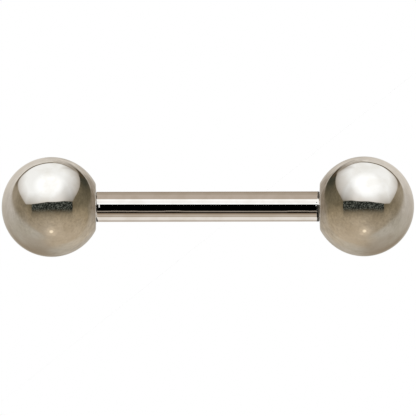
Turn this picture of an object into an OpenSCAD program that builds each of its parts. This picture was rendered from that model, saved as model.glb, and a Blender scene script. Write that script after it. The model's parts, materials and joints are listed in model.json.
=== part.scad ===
// Straight piercing barbell: a plain round bar with a screw post on each end
// and a polished ball screwed onto each post. It rests on its two balls.
// The bar lies along X, +Z is up, and the origin is on the surface it rests on,
// midway between the balls.

/* [Bar] */
// Diameter of the bar, 14 gauge wire
bar_d = 1.63; // [1.5:0.01:1.9]
// Wearable length of the bar, from the face of one ball to the face of the other
bar_len = 12.1; // [6:0.1:25]
// Broken edge round each end of the bar's full thickness
shoulder_chamfer = 0.06; // [0.02:0.01:0.08]

/* [Screw posts] */
// Diameter of each screw post, over its thread
post_d = 1.2; // [1.0:0.01:1.22]
// Length of each post past the end of the bar's full thickness
post_len = 2.3; // [1.5:0.05:2.4]
// Chamfer round the tip of each post
post_chamfer = 0.15; // [0.05:0.01:0.3]

/* [Balls] */
// Diameter of each ball
ball_d = 5.4; // [5.0:0.1:8.0]
// Diameter of the flat face that each ball turns to the bar
face_d = 2.48; // [2.1:0.01:2.6]
// Depth of the blind hole from the face to the start of its drilled point
hole_depth = 2.8; // [2.5:0.05:3.2]
// Countersink round the mouth of the hole
mouth_chamfer = 0.05; // [0.02:0.01:0.06]

/* [Clearances] */
// Gap round the post, on the radius
side_gap = 0.05; // [0.02:0.01:0.05]
// Gap between each end of the bar's full thickness and the face of its ball
end_gap = 0.02; // [0.01:0.01:0.05]

/* [Hidden] */

$fn = 96;

ball_r = ball_d / 2;
hole_d = post_d + 2 * side_gap;

// distance of the flat face from the ball's own centre
face_from_centre = sqrt(pow(ball_r, 2) - pow(face_d / 2, 2));

// half the angle at the point of the drilled hole, and the length of that point
drill_half_angle = 59;
drill_tip = hole_d / 2 / tan(drill_half_angle);

// half length of the bar at its full thickness, and out to the tips of its posts
shank_half = bar_len / 2 - end_gap;
tip_half = shank_half + post_len;

// how far a cutting shape runs past the surface that it cuts
cut_over = 1;

// one end of the bar, as a flat outline: x is the radius, y the way out along the bar
bar_end_outline = [
    [bar_d / 2, shank_half - shoulder_chamfer],
    [bar_d / 2 - shoulder_chamfer, shank_half],
    [post_d / 2, shank_half],
    [post_d / 2, tip_half - post_chamfer],
    [post_d / 2 - post_chamfer, tip_half],
    [0, tip_half]
];

// that end, then the same points turned over for the other end, which closes the outline
bar_outline = [
    for (p = bar_end_outline) p,
    for (i = [len(bar_end_outline) - 1 : -1 : 0])
        [bar_end_outline[i][0], -bar_end_outline[i][1]]
];

// lays what stands on Z along the bar's axis, its top to the left, at the height of the balls' centres
module along_bar() {
    translate([0, 0, ball_r])
        rotate([0, -90, 0])
            children();
}

// the blind hole that takes a post, going up from a face at z = 0
module screw_hole() {
    translate([0, 0, -cut_over])
        cylinder(d = hole_d, h = cut_over + hole_depth);
    cylinder(d1 = hole_d + 2 * mouth_chamfer, d2 = hole_d, h = mouth_chamfer);
    translate([0, 0, hole_depth])
        cylinder(d1 = hole_d, d2 = 0, h = drill_tip);
}

// a ball with its flat face at z = 0 and the rest of it above
module drilled_ball() {
    difference() {
        translate([0, 0, face_from_centre])
            sphere(d = ball_d);
        translate([0, 0, -ball_r])
            cylinder(d = ball_d, h = ball_r);
        screw_hole();
    }
}

module bar() {
    color("#b8ab9c")
        along_bar()
            rotate_extrude()
                polygon(bar_outline);
}

module left_ball() {
    color("#c8bfb2")
        along_bar()
            translate([0, 0, bar_len / 2])
                drilled_ball();
}

module right_ball() {
    color("#c8bfb2")
        along_bar()
            translate([0, 0, -bar_len / 2])
                mirror([0, 0, 1])
                    drilled_ball();
}

bar();
left_ball();
right_ball();
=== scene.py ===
import json
import math

import bmesh
import bpy
from mathutils import Matrix, Vector


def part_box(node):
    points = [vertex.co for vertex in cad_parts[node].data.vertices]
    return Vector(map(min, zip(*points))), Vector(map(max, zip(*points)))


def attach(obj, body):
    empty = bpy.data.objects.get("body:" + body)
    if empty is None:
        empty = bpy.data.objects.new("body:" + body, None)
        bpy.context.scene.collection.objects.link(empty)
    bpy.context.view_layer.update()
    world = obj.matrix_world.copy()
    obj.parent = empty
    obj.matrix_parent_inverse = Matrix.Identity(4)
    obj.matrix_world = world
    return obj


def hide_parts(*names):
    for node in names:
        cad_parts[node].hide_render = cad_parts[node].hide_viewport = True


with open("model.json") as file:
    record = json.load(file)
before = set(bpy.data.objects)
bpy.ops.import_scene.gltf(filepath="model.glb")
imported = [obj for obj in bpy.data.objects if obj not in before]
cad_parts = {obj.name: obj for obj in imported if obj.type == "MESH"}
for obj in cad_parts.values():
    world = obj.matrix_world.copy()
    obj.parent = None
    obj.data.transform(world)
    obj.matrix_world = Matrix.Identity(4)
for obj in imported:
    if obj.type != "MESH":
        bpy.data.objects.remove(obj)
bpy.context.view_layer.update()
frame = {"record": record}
scene = bpy.context.scene
mm = 0.001

# sizes that every piece shares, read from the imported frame, in mm
shank = frame["record"]["mounts"][0]
axisHeight = shank["pos_m"][2] / mm  # the balls rest on the floor, so this is their radius too
ballRadius = axisHeight
barRadius = shank["dims"]["r_mm"]
wearable = shank["mate_length_mm"]
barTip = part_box("bar")[1].x / mm
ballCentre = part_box("right_ball")[1].x / mm - ballRadius
print("frame loaded, ball radius", round(ballRadius, 3), "ball centre", round(ballCentre, 3))


# helpers for node trees


def newNode(tree, kind, **settings):
    node = tree.nodes.new(kind)
    for name, value in settings.items():
        setattr(node, name, value)
    return node


def feed(tree, socket, value):  # links a socket, or sets a plain value
    if isinstance(value, bpy.types.NodeSocket):
        tree.links.new(value, socket)
    else:
        socket.default_value = value


def calc(tree, operation, first, second=0.0, third=0.0, clamp=False):
    node = newNode(tree, "ShaderNodeMath", operation=operation, use_clamp=clamp)
    for socket, value in zip(node.inputs, (first, second, third)):
        feed(tree, socket, value)
    return node.outputs[0]


def span(tree, value, low, high, toLow=0.0, toHigh=1.0, smooth=True):  # a soft step between two values
    node = newNode(tree, "ShaderNodeMapRange", interpolation_type="SMOOTHSTEP" if smooth else "LINEAR")
    for name, given in (("Value", value), ("From Min", low), ("From Max", high),
                        ("To Min", toLow), ("To Max", toHigh)):
        feed(tree, node.inputs[name], given)
    return node.outputs[0]


def blendTones(tree, amount, under, over):
    node = newNode(tree, "ShaderNodeMix", data_type="RGBA")
    feed(tree, node.inputs[0], amount)
    feed(tree, node.inputs[6], under)
    feed(tree, node.inputs[7], over)
    return node.outputs[2]


def hypotenuse(tree, first, second):  # over two sides at a right angle
    square = calc(tree, "ADD", calc(tree, "MULTIPLY", first, first), calc(tree, "MULTIPLY", second, second))
    return calc(tree, "SQRT", square)


def cloudy(tree, coords, size, detail=3.0, roughness=0.5, stretch=None):  # noise of that size, in mm
    if stretch:
        mapping = newNode(tree, "ShaderNodeMapping")
        mapping.inputs["Scale"].default_value = stretch
        tree.links.new(coords, mapping.inputs["Vector"])
        coords = mapping.outputs[0]
    node = newNode(tree, "ShaderNodeTexNoise")
    node.inputs["Scale"].default_value = 1 / (size * mm)
    node.inputs["Detail"].default_value = detail
    node.inputs["Roughness"].default_value = roughness
    tree.links.new(coords, node.inputs["Vector"])
    return node.outputs[0]


# finishes
edgeTint = (0.83, 0.8, 0.76, 1)  # steel seen at a flat angle


def startMaterial(name):
    material = bpy.data.materials.new(name)
    material.use_nodes = True
    tree = material.node_tree
    shader = tree.nodes["Principled BSDF"]
    shader.inputs["Metallic"].default_value = 1.0
    shader.inputs["Specular Tint"].default_value = edgeTint
    coords = newNode(tree, "ShaderNodeTexCoord").outputs["Object"]
    return material, tree, shader, coords


def addBumps(tree, shader, layers):  # each a height and its depth in mm, one over the other
    normal = None
    for height, depth in layers:
        bump = newNode(tree, "ShaderNodeBump")
        bump.inputs["Strength"].default_value = 1.0
        bump.inputs["Distance"].default_value = depth * mm
        tree.links.new(height, bump.inputs["Height"])
        if normal:
            tree.links.new(normal, bump.inputs["Normal"])
        normal = bump.outputs[0]
    tree.links.new(normal, shader.inputs["Normal"])


mirrorFinish = {
    "tint": (0.68, 0.64, 0.59),
    "smutTint": (0.63, 0.585, 0.525),  # the thin film that handling leaves
    "smutSize": 0.9,
    "wipeSize": 0.36,  # of the faint smears in its gloss
    "roughness": (0.02, 0.055),
    "hairlineStretch": (1.0, 0.18, 0.35),
    "orangePeel": (0.45, 0.00028),  # size and depth, mm
    "grit": (0.11, 0.00006),
    "hairline": (0.035, 0.00003),
    "jointShadeTone": (0.12, 0.102, 0.085),  # painted shade round the joint between ball and bar
    "jointShadeRoughness": 0.55,
    "jointShadeShine": 0.15,
    "jointShadeReach": (0.02, 0.2),  # dark up to the first from the joint, and free of painted shade past the second, mm
    "ragged": 0.02,  # its edge wanders by this much either way, mm
    "raggedSize": 0.3,
    "lowJointShadeTone": (0.006, 0.005, 0.004),  # its colour low down, where the painted shade is darker
    "lowFrom": (58, 53),  # high above the first and low below the second, degrees up from the front
    "unshaded": (57, 60, 81, 84),  # left free of painted shade between the two in the middle
    "heavyReach": 0.0,  # how much further it comes at most, mm
    "heavyRight": (0.66, 1.0),  # how much of that at the right end, high up and low down
    "heavyLeft": 0.36,  # and at the left end, in front and below
    "leftFrom": (12, 0),
    "gapShadeTone": (0.215, 0.19, 0.152),  # painted shade in the gap of the joint itself
    "gapShadeReach": (0.03, 0.045),
    "heavyGapShade": 0.0,  # how much further the gap's painted shade comes low down at the right end
    "nicks": [],
}
barFinish = {
    **mirrorFinish,
    "roughness": (0.015, 0.035),
    "hairlineStretch": (0.06, 1.0, 1.0),  # drawn wire, so its marks run along it
    "orangePeel": (1.1, 0.0011),
    "grit": (0.11, 0.00002),
    "hairline": (0.035, 0.00001),
    # on the bar the painted joint shade reaches further, most at the right end low down
    "jointShadeReach": (0.035, 0.062),
    "heavyReach": 0.122,
    "heavyGapShade": 0.038,
    # tiny flats pressed where a ball was forced home: along the bar and half its width, mm,
    # round the bar and half its height, degrees, and how far it tips the surface up
    "nicks": [
        (-5.865, 0.03, 54.5, 7.4, 0.21),
        (5.84, 0.022, 54.5, 3.2, 0.1),
        (5.872, 0.036, 70, 5, -0.17),
        (5.945, 0.035, 86, 6, -0.12),
    ],
}


def offAxis(tree, coords):  # where a point is along the bar, how far out from its axis, and how far round
    split = newNode(tree, "ShaderNodeSeparateXYZ")
    tree.links.new(coords, split.inputs[0])
    up = calc(tree, "SUBTRACT", split.outputs[2], axisHeight * mm)
    front = calc(tree, "MULTIPLY", split.outputs[1], -1)
    turn = calc(tree, "DEGREES", calc(tree, "ARCTAN2", up, front))
    return split.outputs[0], hypotenuse(tree, split.outputs[1], up), turn


def tipNicks(tree, shader, along, turn, nicks):  # tips the normal inside each small flat
    normal = shader.inputs["Normal"].links[0].from_socket
    for place, halfWidth, direction, halfHeight, tip in nicks:
        away = calc(tree, "ABSOLUTE", calc(tree, "SUBTRACT", along, place * mm))
        aside = calc(tree, "ABSOLUTE", calc(tree, "SUBTRACT", turn, direction))
        inside = calc(tree, "MULTIPLY", span(tree, away, halfWidth * mm, halfWidth * 0.6 * mm),
                      span(tree, aside, halfHeight, halfHeight * 0.7))
        upward = newNode(tree, "ShaderNodeVectorMath", operation="SCALE")
        angle = math.radians(direction)
        upward.inputs[0].default_value = (0, math.sin(angle) * tip, math.cos(angle) * tip)
        feed(tree, upward.inputs["Scale"], inside)
        tipped = newNode(tree, "ShaderNodeVectorMath", operation="ADD")
        feed(tree, tipped.inputs[0], normal)
        feed(tree, tipped.inputs[1], upward.outputs[0])
        unit = newNode(tree, "ShaderNodeVectorMath", operation="NORMALIZE")
        feed(tree, unit.inputs[0], tipped.outputs[0])
        normal = unit.outputs[0]
    tree.links.new(normal, shader.inputs["Normal"])


def paintedJointShade(tree, finish, coords, along, reach, turn):  # how free of painted shade it is, and the painted shade's colour where it isn't
    leftEnd = calc(tree, "LESS_THAN", along, 0)
    rightEnd = calc(tree, "GREATER_THAN", along, 0)
    low = span(tree, turn, *finish["lowFrom"])
    inward = calc(tree, "SUBTRACT", calc(tree, "ABSOLUTE", along), wearable / 2 * mm)
    outward = calc(tree, "SUBTRACT", reach, barRadius * mm)
    fromJoint = hypotenuse(tree, inward, outward)
    ragged = finish["ragged"] * mm
    patches = span(tree, cloudy(tree, coords, finish["raggedSize"]), 0.35, 0.65, -ragged, ragged)
    heavyRight = calc(tree, "MULTIPLY", rightEnd, span(tree, low, 0, 1, *finish["heavyRight"], smooth=False))
    heavyLeft = calc(tree, "MULTIPLY", leftEnd,
                     span(tree, turn, *finish["leftFrom"], 0.0, finish["heavyLeft"]))
    heavy = calc(tree, "ADD", heavyRight, heavyLeft)
    nearer = calc(tree, "MULTIPLY_ADD", heavy, -finish["heavyReach"] * mm,
                  calc(tree, "ADD", fromJoint, patches))
    first, full, last, end = finish["unshaded"]
    unshaded = calc(tree, "MULTIPLY", span(tree, turn, first, full), span(tree, turn, end, last))
    dark, clear = finish["jointShadeReach"]
    shadeFree = calc(tree, "MAXIMUM", span(tree, nearer, dark * mm, clear * mm), unshaded)

    colour = blendTones(tree, low, (*finish["jointShadeTone"], 1), (*finish["lowJointShadeTone"], 1))
    # painted shade in the gap of the joint itself, reaching further low down at the right end
    gapDistance = calc(tree, "MULTIPLY_ADD", calc(tree, "MULTIPLY", rightEnd, low), -finish["heavyGapShade"] * mm,
                  fromJoint)
    thick, bare = finish["gapShadeReach"]
    inGap = span(tree, gapDistance, bare * mm, thick * mm)
    return shadeFree, blendTones(tree, inGap, colour, (*finish["gapShadeTone"], 1))


def polishedSteel(name, finish):
    material, tree, shader, coords = startMaterial(name)
    shader.inputs["Specular IOR Level"].default_value = finish["jointShadeShine"]
    along, reach, turn = offAxis(tree, coords)
    smut = cloudy(tree, coords, finish["smutSize"], detail=4.0, roughness=0.6)
    film = span(tree, smut, 0.42, 0.66)
    tint = blendTones(tree, film, (*finish["tint"], 1), (*finish["smutTint"], 1))
    # painted shade round the joint between ball and bar, darker low down
    shadeFree, jointShadeTone = paintedJointShade(tree, finish, coords, along, reach, turn)
    tree.links.new(blendTones(tree, shadeFree, jointShadeTone, tint), shader.inputs["Base Color"])
    tree.links.new(shadeFree, shader.inputs["Metallic"])  # the painted shade there is dull and isn't metal

    lineStretch = finish["hairlineStretch"]  # the wiping and the hairlines run the same way
    wipe = cloudy(tree, coords, finish["wipeSize"], detail=5.0, roughness=0.65, stretch=lineStretch)
    gloss = span(tree, wipe, 0.35, 0.7, *finish["roughness"])
    tree.links.new(span(tree, shadeFree, 0, 1, finish["jointShadeRoughness"], gloss, smooth=False),
                   shader.inputs["Roughness"])
    layers = []
    for mark, detail, stretch in (("orangePeel", 1.5, None), ("grit", 2.0, None),
                                  ("hairline", 2.0, lineStretch)):
        size, depth = finish[mark]
        layers.append((cloudy(tree, coords, size, detail=detail, stretch=stretch), depth))
    addBumps(tree, shader, layers)
    tipNicks(tree, shader, along, turn, finish["nicks"])
    return material


cutFinish = {
    "tint": (0.56, 0.53, 0.49),
    "rootShade": (0.20, 0.18, 0.155),  # painted shade at the bottom of the thread
    "unevenSize": 0.25,
    "roughness": (0.22, 0.4),
    "toolMark": (0.02, 0.0004),  # size and depth, mm
    "toolStretch": (1.0, 0.12, 0.12),  # the marks run round
    "deepTint": (0.05, 0.045, 0.038),  # the bottom of the hole, where hardly any light comes
    "fadeLength": 1.6,  # how far in from the ball's face that is reached, mm
}


def cutSteel(name, finish, crest, root, shadeFrom=None):  # turned and threaded, left as the tool leaves it
    material, tree, shader, coords = startMaterial(name)
    along, reach, turn = offAxis(tree, coords)
    # painted shade, deeper towards the thread's root and uneven in patches
    depth = span(tree, reach, crest * mm, root * mm)
    unevenness = cloudy(tree, coords, finish["unevenSize"])
    rootShading = calc(tree, "MULTIPLY", depth, span(tree, unevenness, 0.3, 0.6, 0.55, 1.0), clamp=True)
    tint = blendTones(tree, rootShading, (*finish["tint"], 1), (*finish["rootShade"], 1))
    if shadeFrom:
        shadeTo = shadeFrom + finish["fadeLength"]
        deep = span(tree, calc(tree, "ABSOLUTE", along), shadeFrom * mm, shadeTo * mm)
        tint = blendTones(tree, deep, tint, (*finish["deepTint"], 1))
    tree.links.new(tint, shader.inputs["Base Color"])
    markSize, markDepth = finish["toolMark"]
    marks = cloudy(tree, coords, markSize, detail=2.0, stretch=finish["toolStretch"])
    tree.links.new(span(tree, marks, 0.3, 0.7, *finish["roughness"]), shader.inputs["Roughness"])
    addBumps(tree, shader, [(marks, markDepth)])
    return material


# the lathe: turns a flat outline round the bar's axis, and cuts a screw thread where it is asked to


threadProfile = (0.06, 0.43)  # where the flank begins and ends, in turns from the middle of the crest
weld = 0.0002  # points nearer than this are joined, mm
cutPastThread = 0.03  # how far out from the thread the cut finish goes, and on past its end, mm
cutPastEnd = 0.7


def threadedRadius(tree, given, along, radius, turn):  # right-handed: flat crest, sloping flanks, flat root
    phase = calc(tree, "SUBTRACT", calc(tree, "DIVIDE", along, given["Pitch"]), turn)
    saw = calc(tree, "PINGPONG", phase, 0.5)
    groove = span(tree, saw, *threadProfile, smooth=False)
    groove = calc(tree, "ABSOLUTE", calc(tree, "SUBTRACT", groove, given["Inward"]))
    out = calc(tree, "ABSOLUTE", along)
    pastStart = calc(tree, "SUBTRACT", out, given["Thread Start"])
    beforeEnd = calc(tree, "SUBTRACT", given["Thread End"], out)
    fade = calc(tree, "MINIMUM", calc(tree, "DIVIDE", pastStart, given["Run In"], clamp=True),
                calc(tree, "DIVIDE", beforeEnd, given["Run Out"], clamp=True))
    cutDepth = calc(tree, "MULTIPLY", calc(tree, "MULTIPLY", groove, given["Depth"]), fade)
    sign = calc(tree, "MULTIPLY_ADD", given["Inward"], -2.0, 1.0)
    cutRadius = calc(tree, "SUBTRACT", given["Crest"], calc(tree, "MULTIPLY", cutDepth, sign))
    kept = calc(tree, "MULTIPLY", sign, calc(tree, "MINIMUM", calc(tree, "MULTIPLY", sign, radius),
                                             calc(tree, "MULTIPLY", sign, cutRadius)))
    inside = calc(tree, "MULTIPLY", calc(tree, "GREATER_THAN", out, given["Thread Start"]),
                  calc(tree, "LESS_THAN", out, given["Thread End"]))
    change = calc(tree, "MULTIPLY", inside, calc(tree, "SUBTRACT", kept, radius))
    return calc(tree, "ADD", radius, change)


def onThread(tree, given):  # 1 where the cut finish goes
    here = newNode(tree, "ShaderNodeSeparateXYZ")
    feed(tree, here.inputs[0], newNode(tree, "GeometryNodeInputPosition").outputs[0])
    reach = hypotenuse(tree, here.outputs[1], calc(tree, "SUBTRACT", here.outputs[2], given["Axis Height"]))
    deepest = calc(tree, "ADD", given["Crest"], calc(tree, "MULTIPLY", given["Depth"], given["Inward"]))
    out = calc(tree, "ABSOLUTE", here.outputs[0])
    last = calc(tree, "ADD", given["Thread End"], cutPastEnd * mm)
    near = calc(tree, "LESS_THAN", reach, calc(tree, "ADD", deepest, cutPastThread * mm))
    between = calc(tree, "MULTIPLY", calc(tree, "GREATER_THAN", out, given["Thread Start"]),
                   calc(tree, "LESS_THAN", out, last))
    return calc(tree, "MULTIPLY", near, between)


def latheTree():
    tree = bpy.data.node_groups.new("latheAndThread", "GeometryNodeTree")
    face = tree.interface
    face.new_socket("Geometry", in_out="OUTPUT", socket_type="NodeSocketGeometry")
    face.new_socket("Geometry", in_out="INPUT", socket_type="NodeSocketGeometry")
    face.new_socket("Outline", in_out="INPUT", socket_type="NodeSocketObject")
    face.new_socket("Sides", in_out="INPUT", socket_type="NodeSocketInt")
    for name in ("Axis Height", "Thread Start", "Thread End", "Run In", "Run Out", "Pitch", "Crest",
                 "Depth", "Inward"):
        face.new_socket(name, in_out="INPUT", socket_type="NodeSocketFloat")
    face.new_socket("Finish", in_out="INPUT", socket_type="NodeSocketMaterial")
    face.new_socket("Thread Finish", in_out="INPUT", socket_type="NodeSocketMaterial")
    given = newNode(tree, "NodeGroupInput").outputs

    # one column of points for each point of the outline, one row for each side
    outline = newNode(tree, "GeometryNodeObjectInfo")
    feed(tree, outline.inputs["Object"], given["Outline"])
    count = newNode(tree, "GeometryNodeAttributeDomainSize")
    feed(tree, count.inputs[0], outline.outputs["Geometry"])
    columns = count.outputs["Point Count"]
    columnSpan = calc(tree, "SUBTRACT", columns, 1)
    grid = newNode(tree, "GeometryNodeMeshGrid")
    feed(tree, grid.inputs["Size X"], columnSpan)
    feed(tree, grid.inputs["Size Y"], given["Sides"])
    feed(tree, grid.inputs["Vertices X"], columns)
    feed(tree, grid.inputs["Vertices Y"], calc(tree, "ADD", given["Sides"], 1))
    place = newNode(tree, "ShaderNodeSeparateXYZ")
    feed(tree, place.inputs[0], newNode(tree, "GeometryNodeInputPosition").outputs[0])
    column = calc(tree, "ROUND", calc(tree, "ADD", place.outputs[0], calc(tree, "DIVIDE", columnSpan, 2)))
    turn = calc(tree, "ADD", calc(tree, "DIVIDE", place.outputs[1], given["Sides"]), 0.5)

    # where that point of the outline is: its x is along the bar, its y is the radius
    pick = newNode(tree, "GeometryNodeSampleIndex", data_type="FLOAT_VECTOR", domain="POINT")
    feed(tree, pick.inputs["Geometry"], outline.outputs["Geometry"])
    feed(tree, pick.inputs["Value"], newNode(tree, "GeometryNodeInputPosition").outputs[0])
    feed(tree, pick.inputs["Index"], column)
    point = newNode(tree, "ShaderNodeSeparateXYZ")
    feed(tree, point.inputs[0], pick.outputs["Value"])
    along = point.outputs[0]
    turned = threadedRadius(tree, given, along, point.outputs[1], turn)

    # wrap the sheet round the axis and close its seam and poles
    angle = calc(tree, "MULTIPLY", turn, 2 * math.pi)
    wrapped = newNode(tree, "ShaderNodeCombineXYZ")
    feed(tree, wrapped.inputs[0], along)
    feed(tree, wrapped.inputs[1], calc(tree, "MULTIPLY", turned, calc(tree, "COSINE", angle)))
    feed(tree, wrapped.inputs[2], calc(tree, "ADD", given["Axis Height"],
                                       calc(tree, "MULTIPLY", turned, calc(tree, "SINE", angle))))
    bent = newNode(tree, "GeometryNodeSetPosition")
    feed(tree, bent.inputs["Geometry"], grid.outputs["Mesh"])
    feed(tree, bent.inputs["Position"], wrapped.outputs[0])
    closed = newNode(tree, "GeometryNodeMergeByDistance")
    feed(tree, closed.inputs["Geometry"], bent.outputs[0])
    closed.inputs["Distance"].default_value = weld * mm
    smooth = newNode(tree, "GeometryNodeSetShadeSmooth")
    feed(tree, smooth.inputs["Geometry"], closed.outputs[0])

    # polish everywhere, then the cut finish on the thread's own surface
    whole = newNode(tree, "GeometryNodeRealizeInstances")
    feed(tree, whole.inputs[0], smooth.outputs[0])
    polished = newNode(tree, "GeometryNodeSetMaterial")
    feed(tree, polished.inputs["Geometry"], whole.outputs[0])
    feed(tree, polished.inputs["Material"], given["Finish"])
    threaded = newNode(tree, "GeometryNodeSetMaterial")
    feed(tree, threaded.inputs["Geometry"], polished.outputs[0])
    feed(tree, threaded.inputs["Selection"], onThread(tree, given))
    feed(tree, threaded.inputs["Material"], given["Thread Finish"])
    feed(tree, newNode(tree, "NodeGroupOutput").inputs["Geometry"], threaded.outputs[0])
    return tree


lathe = latheTree()
print("lathe built")


def straight(start, end, step):  # points from start to end, the last left out
    count = max(1, math.ceil(math.dist(start, end) / step))
    return [(start[0] + (end[0] - start[0]) * i / count, start[1] + (end[1] - start[1]) * i / count)
            for i in range(count)]


def arc(centre, radius, fromDeg, toDeg, step):  # the same on an arc, with 0 degrees outward along the bar
    count = max(2, math.ceil(abs(math.radians(toDeg - fromDeg)) * radius / step))
    points = []
    for i in range(count):
        angle = math.radians(fromDeg + (toDeg - fromDeg) * i / count)
        points.append((centre[0] + radius * math.cos(angle), centre[1] + radius * math.sin(angle)))
    return points


crispFrom = 38  # edges that bend more than this stay crisp, degrees


def turnPiece(name, outline, settings, body, nodeName):
    flat = bpy.data.meshes.new(name + "Outline")
    edges = [(i, i + 1) for i in range(len(outline) - 1)]
    flat.from_pydata([(x * mm, r * mm, 0) for x, r in outline], edges, [])
    outlineObject = bpy.data.objects.new(name + "Outline", flat)
    scene.collection.objects.link(outlineObject)
    piece = bpy.data.objects.new(name, bpy.data.meshes.new(name))
    scene.collection.objects.link(piece)
    modifier = piece.modifiers.new("lathe", "NODES")
    modifier.node_group = lathe
    sockets = {item.name: item.identifier for item in lathe.interface.items_tree if item.in_out == "INPUT"}
    for label, value in {"Outline": outlineObject, **settings}.items():
        modifier[sockets[label]] = value
    turned = bpy.data.meshes.new_from_object(piece.evaluated_get(bpy.context.evaluated_depsgraph_get()))
    piece.modifiers.remove(modifier)
    piece.data = turned
    turned.name = name
    work = bmesh.new()
    work.from_mesh(turned)
    bmesh.ops.recalc_face_normals(work, faces=work.faces)
    work.to_mesh(turned)
    openEdges = sum(1 for edge in work.edges if len(edge.link_faces) != 2)
    volume = work.calc_volume(signed=True) / mm ** 3
    work.free()
    turned.set_sharp_from_angle(angle=math.radians(crispFrom))
    bpy.data.objects.remove(outlineObject)
    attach(piece, body)
    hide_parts(nodeName)
    print(name, "turned:", len(turned.polygons), "faces, open edges", openEdges, "volume", round(volume, 2))
    return piece


barPiece = {
    "endGap": 0.02,  # the full thickness ends this much short of the ball's face
    "brokenEdge": 0.045,
    "postRadius": 0.6,
    "tipChamfer": 0.15,
    "threadDepth": 0.14,
    "pitch": 0.25,
    "runIn": 0.12,  # the thread grows to its full depth over this length, and ends over the other
    "runOut": 0.02,
    "pastTip": 0.01,
    "sides": 112,
    "coarse": 0.16,
    "fine": 0.018,
}


def latheSettings(sizes, start, end, crest, inward, polish, cut):
    return {
        "Sides": sizes["sides"],
        "Axis Height": axisHeight * mm,
        "Thread Start": start * mm,
        "Thread End": end * mm,
        "Run In": sizes["runIn"] * mm,
        "Run Out": sizes["runOut"] * mm,
        "Pitch": barPiece["pitch"] * mm,
        "Crest": crest * mm,
        "Depth": sizes["threadDepth"] * mm,
        "Inward": inward,  # 1 for a thread inside a hole
        "Finish": polish,
        "Thread Finish": cut,
    }


def barOutline(sizes):
    end = wearable / 2 - sizes["endGap"]
    edge = sizes["brokenEdge"]
    post = sizes["postRadius"]
    chamfer = sizes["tipChamfer"]
    coarse = sizes["coarse"]
    fine = sizes["fine"]
    level = end - edge - fine  # keeps the shading level right up to the broken edge
    half = straight((0.0, barRadius), (level, barRadius), coarse)
    half += straight((level, barRadius), (end - edge, barRadius), fine)
    half += arc((end - edge, barRadius - edge), edge, 90, 0, edge / 5)
    half += straight((end, barRadius - edge), (end, post), coarse / 4)
    half += straight((end, post), (barTip - chamfer, post), fine)
    half += straight((barTip - chamfer, post), (barTip, post - chamfer), fine)
    half += straight((barTip, post - chamfer), (barTip, 0.0), coarse)
    half.append((barTip, 0.0))
    return [(-x, r) for x, r in reversed(half[1:])] + half


barSteel = polishedSteel("barSteel", barFinish)
postSteel = cutSteel("postSteel", cutFinish, barPiece["postRadius"],
                     barPiece["postRadius"] - barPiece["threadDepth"])
barLathe = latheSettings(barPiece, wearable / 2, barTip + barPiece["pastTip"], barPiece["postRadius"],
                         0.0, barSteel, postSteel)
bar = turnPiece("turnedBar", barOutline(barPiece), barLathe, "bar", "bar")
bar.visible_glossy = False  # in the photo the balls mirror neither the bar nor each other

ballPiece = {
    "cornerRadius": 0.35,  # between the sphere and the flat face
    "holeRadius": 0.65,
    "holeDepth": 2.8,
    "drillHalfAngle": 59,
    "mouth": 0.05,  # the countersink round the hole
    "threadDepth": 0.1,
    "threadFrom": 0.001,  # its ends, in from the ball's face
    "threadTo": 2.55,
    "runIn": 0.02,
    "runOut": 0.2,
    "sides": 160,
    "coarse": 0.06,
    "fine": 0.02,
}


def ballOutline(sizes, side):
    face = wearable / 2
    corner = sizes["cornerRadius"]
    offset = ballCentre - face - corner
    cornerHeight = math.sqrt((ballRadius - corner) ** 2 - offset ** 2)
    meet = 180 - math.degrees(math.atan2(cornerHeight, offset))  # where the sphere runs into the corner
    hole = sizes["holeRadius"]
    mouth = sizes["mouth"]
    coarse = sizes["coarse"]
    fine = sizes["fine"]
    bottom = face + sizes["holeDepth"]
    tip = bottom + hole / math.tan(math.radians(sizes["drillHalfAngle"]))
    points = arc((ballCentre, 0.0), ballRadius, 0, meet, coarse)
    points += arc((face + corner, cornerHeight), corner, meet, 180, coarse / 2)
    points += straight((face, cornerHeight), (face, hole + mouth), coarse)
    points += straight((face, hole + mouth), (face + mouth, hole), fine)
    points += straight((face + mouth, hole), (bottom, hole), fine)
    points += straight((bottom, hole), (tip, 0.0), coarse)
    points.append((tip, 0.0))
    return [(side * x, max(r, 0.0)) for x, r in points]


ballSteel = polishedSteel("ballSteel", mirrorFinish)
holeSteel = cutSteel("holeSteel", cutFinish, ballPiece["holeRadius"],
                     ballPiece["holeRadius"] + ballPiece["threadDepth"], shadeFrom=wearable / 2)
ballLathe = latheSettings(ballPiece, wearable / 2 + ballPiece["threadFrom"],
                          wearable / 2 + ballPiece["threadTo"], ballPiece["holeRadius"],
                          1.0, ballSteel, holeSteel)
balls = {}
for name, side, body in (("leftPolishedBall", -1, "left_ball"), ("rightPolishedBall", 1, "right_ball")):
    balls[body] = turnPiece(name, ballOutline(ballPiece, side), ballLathe, body, body)
    balls[body].visible_glossy = False
print("pieces made")

# camera, placed from where the two balls lie in the photo, in its pixels
photo = {
    "width": 416,
    "leftBall": (51.07, 206.49),
    "rightBall": (363.65, 205.88),
}
view = {
    "lens": 640,
    "sensor": 36,
    "elevation": math.radians(52),
    "clip": (0.01, 20),
}


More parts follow.
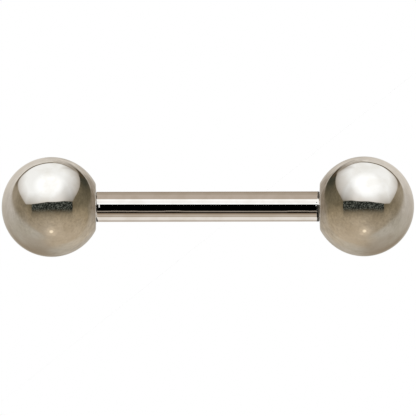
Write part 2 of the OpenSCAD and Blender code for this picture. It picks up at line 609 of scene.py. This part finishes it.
def placeCamera():
    data = bpy.data.cameras.new("camera")
    data.lens = view["lens"]
    data.sensor_width = view["sensor"]
    data.clip_start, data.clip_end = view["clip"]
    camera = bpy.data.objects.new("camera", data)
    scene.collection.objects.link(camera)
    acrossPx = photo["rightBall"][0] - photo["leftBall"][0]
    perPx = 2 * ballCentre * mm / acrossPx
    distance = perPx * photo["width"] * view["lens"] / view["sensor"]
    middle = (photo["width"] - 1) / 2
    offX = (photo["leftBall"][0] + photo["rightBall"][0]) / 2 - middle
    offY = middle - (photo["leftBall"][1] + photo["rightBall"][1]) / 2
    back = Vector((0, -math.cos(view["elevation"]), math.sin(view["elevation"])))
    up = Vector((0, math.sin(view["elevation"]), math.cos(view["elevation"])))
    roll = math.atan((photo["rightBall"][1] - photo["leftBall"][1]) / acrossPx)
    camera.location = (Vector((0, 0, axisHeight * mm)) + back * distance
                       - Vector((offX * perPx, 0, 0)) - up * offY * perPx)
    aim = Matrix.Rotation(math.pi / 2 - view["elevation"], 4, "X") @ Matrix.Rotation(roll, 4, "Z")
    camera.rotation_euler = aim.to_euler()
    scene.camera = camera
    return distance


cameraDistance = placeCamera()
print("camera placed")

# the studio: a pale floor, even light from all round, and large cards that only the polished steel sees
steelTint = mirrorFinish["tint"]


def linear(level):  # a level from 0 to 255 as an amount of light
    level = level / 255
    return level / 12.92 if level <= 0.04045 else ((level + 0.055) / 1.055) ** 2.4


def tone(red, green, blue, strength=1.0):  # the light that makes the steel look this colour
    shown = (linear(red), linear(green), linear(blue))
    return tuple(strength * level / tint for level, tint in zip(shown, steelTint)) + (1,)


def cardShell(name, radius, receiver, yaw):  # cards all round that one piece alone mirrors
    work = bmesh.new()
    bmesh.ops.create_icosphere(work, subdivisions=3, radius=radius)
    mesh = bpy.data.meshes.new(name)
    work.to_mesh(mesh)
    work.free()
    shell = bpy.data.objects.new(name, mesh)
    scene.collection.objects.link(shell)
    shell.location = (0, 0, axisHeight * mm)
    facing = Matrix.Rotation(-view["elevation"], 4, "X") @ Matrix.Rotation(yaw, 4, "Z")
    shell.rotation_euler = facing.to_euler()  # its own front looks from the piece to the camera
    for ray in ("camera", "diffuse", "transmission", "volume_scatter", "shadow"):
        setattr(shell, "visible_" + ray, False)
    seenBy = bpy.data.collections.new(name + "SeenBy")
    seenBy.objects.link(receiver)
    shell.light_linking.receiver_collection = seenBy
    material = bpy.data.materials.new(name)
    material.use_nodes = True
    material.cycles.emission_sampling = "NONE"
    mesh.materials.append(material)
    tree = material.node_tree
    tree.nodes.clear()
    glow = newNode(tree, "ShaderNodeEmission")
    both = newNode(tree, "ShaderNodeAddShader")
    feed(tree, both.inputs[0], glow.outputs[0])
    feed(tree, both.inputs[1], newNode(tree, "ShaderNodeBsdfTransparent").outputs[0])
    feed(tree, newNode(tree, "ShaderNodeOutputMaterial").inputs[0], both.outputs[0])
    way = newNode(tree, "ShaderNodeVectorMath", operation="NORMALIZE")
    feed(tree, way.inputs[0], newNode(tree, "ShaderNodeTexCoord").outputs["Object"])
    return tree, way.outputs[0], glow.inputs["Color"]


def spot(tree, way, azimuth, height, side, inner, outer):  # 1 near a direction, 0 past outer, degrees
    around = math.radians(azimuth * side)
    up = math.radians(height)
    near = newNode(tree, "ShaderNodeVectorMath", operation="DOT_PRODUCT")
    feed(tree, near.inputs[0], way)
    near.inputs[1].default_value = (math.sin(around) * math.cos(up), -math.cos(around) * math.cos(up),
                                    math.sin(up))
    return span(tree, near.outputs["Value"], math.cos(math.radians(outer)), math.cos(math.radians(inner)))


ballCards = {
    # how high the softbox's lower edge stands, for each way round: 0 at the camera, 90 along the bar
    "softboxEdge": [
        (-180, 57.3), (-165, 56.8), (-150, 53), (-135, 46.2), (-120, 35.1), (-100, 28.5), (-80, 19.2),
        (-62, 5.5), (-48, 5.5), (-10, 11.3), (10, 11.5), (30, 13.1), (50, 11), (60, 21.5), (75, 30.5),
        (100, 40.5), (120, 44.2), (130, 45), (138, 50.5), (150, 54.3), (180, 57.3),
    ],
    "corners": (-62, -48, -10, 10, 30, 50, 60),  # where that edge runs straight or turns sharply
    "softbox": tone(241, 240, 236),
    "hotSpot": tone(255, 255, 253, 1.06),
    "softboxFoot": tone(184, 176, 166),
    "footCorner": tone(165, 157, 146),
    "footMiddle": tone(209, 202, 193),
    "footShade": tone(122, 113, 100),
    "softboxSide": tone(154, 144, 131),
    "flag": tone(27, 29, 25),
    "flagFleck": tone(96, 98, 90),
    "frontShade": tone(104, 93, 73),
    "wall": tone(141, 126, 101),
    "wallHigh": tone(106, 96, 76),
    "outerWall": tone(128, 116, 96),
    "outerFar": tone(147, 135, 116),
    "wallDeep": tone(90, 82, 65),
    "deepShade": tone(60, 58, 47),
    "cornerShade": tone(78, 65, 48),
    "topShade": tone(150, 140, 126),
    "tableOuter": tone(165, 154, 138),
    "tableBarward": tone(177, 161, 138),
    "tableDip": tone(148, 132, 108),
    "sheetHigh": tone(212, 205, 195),
    "sheetMiddle": tone(182, 174, 163),
    "sheetLow": tone(168, 160, 146),
    "sheetRim": tone(146, 133, 116),
    "sheetBarward": tone(187, 174, 154),
    "sheetShade": tone(134, 121, 105),
    "sheetEdge": tone(217, 211, 200),
    "sheetLine": tone(112, 101, 87),
    "lampGlow": tone(206, 188, 162),
    "lamp": tone(250, 232, 202),
}


def softboxEdge(tree, az):  # the height of the softbox's lower edge, each way round
    curve = newNode(tree, "ShaderNodeFloatCurve")
    points = curve.mapping.curves[0].points
    while len(points) < len(ballCards["softboxEdge"]):
        points.new(0.5, 0.5)
    for point, (direction, height) in zip(points, ballCards["softboxEdge"]):
        point.location = ((direction + 180) / 360, (height + 90) / 180)
        point.handle_type = "VECTOR" if direction in ballCards["corners"] else "AUTO"
    curve.mapping.update()
    feed(tree, curve.inputs["Value"], span(tree, az, -180, 180, smooth=False))
    return span(tree, curve.outputs[0], 0, 1, -90, 90, smooth=False)


def ballShell(name, radius, side, receiver):
    yaw = side * math.atan(ballCentre * mm / cameraDistance)
    tree, way, colour = cardShell(name, radius, receiver, yaw)

    def ramp(value, low, high, toLow=0.0, toHigh=1.0):
        return span(tree, value, low, high, toLow, toHigh)

    def times(*amounts):
        product = amounts[0]
        for amount in amounts[1:]:
            product = calc(tree, "MULTIPLY", product, amount)
        return product

    def plus(*amounts):
        total = amounts[0]
        for amount in amounts[1:]:
            total = calc(tree, "ADD", total, amount)
        return total

    def minus(first, second):
        return calc(tree, "SUBTRACT", first, second)

    def near(azimuth, height, inner, outer, amount):  # a soft round patch, laid on this thickly
        return times(spot(tree, way, azimuth, height, side, inner, outer), amount)

    def over(under, *layers):  # lays each tone by its amount over those before it
        for amount, toneName in layers:
            under = blendTones(tree, amount, under, ballCards[toneName])
        return under

    def fleck(scale, detail, roughness):
        noise = newNode(tree, "ShaderNodeTexNoise")
        feed(tree, noise.inputs["Vector"], way)
        noise.inputs["Scale"].default_value = scale
        noise.inputs["Detail"].default_value = detail
        noise.inputs["Roughness"].default_value = roughness
        return noise.outputs[0]

    # each direction as az, degrees round from the camera towards the bar, and el, degrees up
    split = newNode(tree, "ShaderNodeSeparateXYZ")
    feed(tree, split.inputs[0], way)
    barward = times(split.outputs[0], side)
    az = calc(tree, "DEGREES", calc(tree, "ARCTAN2", barward, times(split.outputs[1], -1)))
    el = calc(tree, "DEGREES", calc(tree, "ARCSINE", split.outputs[2]))
    aside = calc(tree, "ABSOLUTE", az)
    above = minus(el, softboxEdge(tree, az))

    def tableAndWall():  # the table is greyer on the outer side, the wall darkest high up beside the bar
        table = over(ballCards["tableOuter"],
                     (ramp(barward, -0.75, 0.35), "tableBarward"),
                     (near(-42, -32, 4, 32, 0.5), "tableDip"),
                     (near(-64, -58, 5, 24, 0.28), "tableDip"),
                     (near(54, -40, 5, 24, 0.25), "tableDip"),
                     (near(-136, -60, 5, 30, 0.6), "sheetRim"))
        wall = over(ballCards["wall"],
                    (ramp(el, -14, 8), "wallHigh"),
                    (ramp(az, -45, -80), "outerWall"),
                    (ramp(az, -78, -104), "outerFar"),
                    (times(ramp(el, 2, 22), ramp(az, 55, 100)), "wallDeep"),
                    (times(ramp(el, 17, 35), ramp(az, 84, 116)), "deepShade"),
                    (times(ramp(aside, 60, 44), ramp(el, -36, -8)), "frontShade"))
        return blendTones(tree, ramp(el, -55, 0), table, wall)

    def sheetInside():  # how far inside the pale sheet's outline each direction is, and the gap above it
        outerEdge = calc(tree, "MULTIPLY_ADD", el, -0.87, -99)
        rising = calc(tree, "MAXIMUM", el, 0)
        falling = calc(tree, "MINIMUM", el, 0)
        barEdge = plus(calc(tree, "MULTIPLY_ADD", falling, -0.35, 98),
                       times(rising, calc(tree, "MULTIPLY_ADD", rising, 0.0125, 0.72)))
        sideways = calc(tree, "MAXIMUM", minus(outerEdge, az), minus(az, barEdge))
        wider = times(ramp(aside, 100, 122), ramp(aside, 166, 140), ramp(barward, 0.5, -0.5, 0, 2.2))
        gap = minus(-4, wider)
        return calc(tree, "MINIMUM", minus(gap, above), sideways), gap

    def paleSheet(inside):  # a curved sheet behind the piece, with a bright edge
        brightEdge = times(ramp(el, 12, 30), ramp(inside, 0, 1.5), ramp(inside, 5, 2.5),
                           ramp(barward, 0.2, 0.7, 1.0, 0.35))
        outerBack = times(ramp(az, -125, -160), ramp(el, -12, 18), ramp(barward, 0, -0.1))
        lowBack = times(ramp(aside, 128, 160), ramp(barward, 0.2, -0.2), ramp(el, -5, -28),
                        ramp(el, -66, -34, 0.6, 1.0))
        nearBar = times(ramp(az, 85, 105), ramp(az, 165, 135), ramp(el, -25, 0), ramp(el, 42, 15))
        return over(ballCards["sheetLow"],
                    (ramp(el, -30, 5), "sheetMiddle"),
                    (ramp(el, 0, 40), "sheetHigh"),
                    (outerBack, "sheetHigh"),
                    (lowBack, "sheetRim"),
                    (near(-126, -58, 4, 24, 0.5), "sheetRim"),
                    (times(ramp(barward, 0.0, 0.7), ramp(el, 0, -35)), "sheetBarward"),
                    (near(117, -26, 3, 20, 0.45), "sheetRim"),
                    (near(160, -26, 3, 22, 0.6), "sheetMiddle"),
                    (nearBar, "sheetShade"),
                    (near(136, 13, 2, 13, 0.45), "sheetMiddle"),
                    (near(135, 30, 2, 12, 0.4), "sheetShade"),
                    (brightEdge, "sheetEdge"))

    def besideBar(lit):  # beside the bar the sheet's top is in shade, darkest at the corner
        foot = ramp(az, 150, 176, 39.5, 44.5)
        top = times(ramp(az, 122, 134), ramp(minus(el, foot), 0, 5.5), ramp(barward, 0, 0.06))
        line = times(ramp(az, 138, 152), ramp(above, -4, -1.5), ramp(barward, 0, 0.06, 0, 0.5))
        corner = times(ramp(az, 120, 128), ramp(az, 188, 122), ramp(el, 34, 38.5), ramp(el, 45, 41))
        return over(lit,
                    (top, "topShade"),
                    (times(top, ramp(az, 140, 166)), "sheetMiddle"),
                    (line, "sheetLine"),
                    (corner, "cornerShade"))

    def unevenly(lit):  # nothing below the softbox is quite even, the wall least of all
        calmer = times(ramp(az, -72, -112), ramp(barward, 0, -0.12))
        depth = times(ramp(el, -70, -15, 0.35, 1.05), span(tree, calmer, 0, 1, 1.0, 0.4, smooth=False))
        uneven = newNode(tree, "ShaderNodeVectorMath", operation="SCALE")
        feed(tree, uneven.inputs[0], lit)
        feed(tree, uneven.inputs["Scale"],
             calc(tree, "MULTIPLY_ADD", minus(fleck(10, 3.5, 0.72), 0.5), depth, 1.0))
        return uneven.outputs[0]

    def softbox():  # whitest in front of its middle, greyer towards its lower edge and beside the bar
        foot = over(ballCards["softboxFoot"],
                    (ramp(az, -85, -62), "footCorner"),
                    (ramp(az, -56, -14), "footMiddle"),
                    (ramp(az, 13, 51), "footShade"),
                    (ramp(az, 51, 66), "softboxSide"),
                    (plus(ramp(az, -122, -146), ramp(az, 134, 165)), "softbox"))
        reach = plus(ramp(az, -145, -105, 1, 19),
                     times(ramp(az, -2, 38), ramp(az, 45, 115, 29, 6)),
                     times(ramp(az, -92, -65), ramp(az, -5, -40), 6.0),
                     near(-12, 20, 6, 26, -6.0))
        reach = calc(tree, "MAXIMUM", times(reach, ramp(az, 170, 130)), 0.5)
        rise = calc(tree, "POWER", calc(tree, "DIVIDE", above, reach, clamp=True), 0.75)
        box = blendTones(tree, rise, foot, ballCards["softbox"])
        return over(box, (spot(tree, way, -11, 54, side, 12, 36), "hotSpot"))

    inside, gap = sheetInside()
    softness = ramp(el, 0, 40, 10, 1.5)
    onSheet = times(ramp(inside, times(softness, -1), softness), ramp(el, -85, -55))
    lit = blendTones(tree, onSheet, tableAndWall(), paleSheet(inside))
    overEdge = times(ramp(aside, 100, 122), ramp(minus(above, gap), -1, 1), ramp(barward, 0.12, 0))
    lit = over(lit,
               (near(-86, -16, 4, 22, 0.17), "wallHigh"),
               (near(98, -2, 3, 14, 0.35), "wallHigh"),
               (overEdge, "sheetLine"))
    lit = besideBar(lit)

    # one small warm lamp low in front
    lit = over(lit,
               (near(-2, -59, 1, 15, 0.48), "lampGlow"),
               (spot(tree, way, -2, -59, side, 0.5, 5), "lamp"),
               (near(10, -66.5, 0.5, 5, 0.4), "lampGlow"))
    lit = blendTones(tree, ramp(above, -1, 1), unevenly(lit), softbox())

    # the black flag between the softbox and the camera
    flag = times(ramp(az, -48.5, -46), ramp(az, 50.5, 48.5), ramp(el, -17, -2), ramp(above, 0.9, -0.9))
    cloth = over(ballCards["flag"], (ramp(fleck(19, 2, 0.6), 0.43, 0.69), "flagFleck"))
    feed(tree, colour, blendTones(tree, flag, lit, cloth))


barCards = {
    "top": tone(158, 144, 129),
    # strips along the bar, downwards: the upper edge in degrees above the camera's line, how soft it is,
    # and the tone
    "strips": [
        (131, 6, tone(168, 155, 139)),
        (103, 5, tone(180, 166, 152)),
        (58.9, 2.5, tone(255, 253, 249)),
        (45, 5, tone(247, 243, 240)),
        (28, 5, tone(255, 255, 253)),
        (17.4, 1.0, tone(1, 1, 1)),
        (-33, 2, tone(146, 136, 124)),
        (-40.5, 2.5, tone(5, 2, 0)),
        (-50.2, 3, tone(130, 113, 96)),
        (-59, 4, tone(170, 156, 138)),
        (-67, 4, tone(184, 172, 159)),
        (-77, 3, tone(170, 157, 141)),
        (-87, 3, tone(225, 218, 210)),
        (-125, 6, tone(190, 180, 169)),
    ],
    "unevenEdges": (-33, -40.5),  # the two edges that aren't straight
    "swings": (-4.9, -2.0, 5.0),  # where along the bar they swing up, mm
    "swingWidth": (0.1, 0.8),  # half the width of a swing at its top and at its foot, mm
    "swingHeight": 3.0,
    "levelling": 80,  # turns the strips level in the picture, though the bar lies a tenth of a degree askew
}


def barShell(name, radius, receiver):
    tree, way, colour = cardShell(name, radius, receiver, 0)
    split = newNode(tree, "ShaderNodeSeparateXYZ")
    feed(tree, split.inputs[0], way)
    front = calc(tree, "MULTIPLY", split.outputs[1], -1)
    height = calc(tree, "DEGREES", calc(tree, "ARCTAN2", split.outputs[2], front))
    height = calc(tree, "MULTIPLY_ADD", split.outputs[0], barCards["levelling"], height)
    shift = mm / cameraDistance + mm / radius  # how far aside a reflection falls for each mm along the bar
    top, foot = barCards["swingWidth"]
    swing = 0.0
    for place in barCards["swings"]:
        away = calc(tree, "ABSOLUTE", calc(tree, "SUBTRACT", split.outputs[0], place * shift))
        hump = span(tree, away, foot * shift, top * shift, 0.0, barCards["swingHeight"])
        swing = calc(tree, "ADD", swing, hump)
    lit = barCards["top"]
    for upper, soft, shade in barCards["strips"]:
        place = calc(tree, "SUBTRACT", height, swing) if upper in barCards["unevenEdges"] else height
        lit = blendTones(tree, span(tree, place, upper + soft / 2, upper - soft / 2), lit, shade)
    feed(tree, colour, lit)


cardDistance = 1.0  # m, each set of cards a little outside the one before
cardStep = 0.02
ballShell("leftBallCards", cardDistance, 1, balls["left_ball"])
ballShell("rightBallCards", cardDistance + cardStep, -1, balls["right_ball"])
barShell("barCards", cardDistance + 2 * cardStep, bar)

paleFloor = {
    "reach": 3.0,  # m, either way
    "shadeDistance": 3,  # mm
    "openFrom": 0.2,  # how much open sky makes it fully bright
    "darkest": 0.25,
    "samples": 16,
}


def placeFloor(look):  # a light table: evenly bright, darker only where a ball rests on it
    reach = look["reach"]
    corners = [(-reach, -reach, 0), (reach, -reach, 0), (reach, reach, 0), (-reach, reach, 0)]
    mesh = bpy.data.meshes.new("paleFloor")
    mesh.from_pydata(corners, [], [(0, 1, 2, 3)])
    floor = bpy.data.objects.new("paleFloor", mesh)
    scene.collection.objects.link(floor)
    floor.visible_glossy = False
    paint = bpy.data.materials.new("lightTable")
    paint.use_nodes = True
    paint.cycles.emission_sampling = "NONE"
    mesh.materials.append(paint)
    tree = paint.node_tree
    tree.nodes.clear()
    glow = newNode(tree, "ShaderNodeEmission")
    feed(tree, newNode(tree, "ShaderNodeOutputMaterial").inputs[0], glow.outputs[0])
    shade = newNode(tree, "ShaderNodeAmbientOcclusion", samples=look["samples"])
    shade.inputs["Distance"].default_value = look["shadeDistance"] * mm
    bright = span(tree, shade.outputs["AO"], 0.0, look["openFrom"], look["darkest"], 1.0)
    feed(tree, glow.inputs["Strength"], bright)


def lightEvenly():  # white all round, but black to the steel, which sees only its cards
    world = bpy.data.worlds.new("evenLight")
    scene.world = world
    world.use_nodes = True
    tree = world.node_tree
    rays = newNode(tree, "ShaderNodeLightPath")
    light = tree.nodes["Background"]
    light.inputs["Color"].default_value = (1, 1, 1, 1)
    feed(tree, light.inputs["Strength"], calc(tree, "SUBTRACT", 1, rays.outputs["Is Glossy Ray"]))


placeFloor(paleFloor)
lightEvenly()
scene.view_settings.view_transform = "Standard"
print("studio lit")
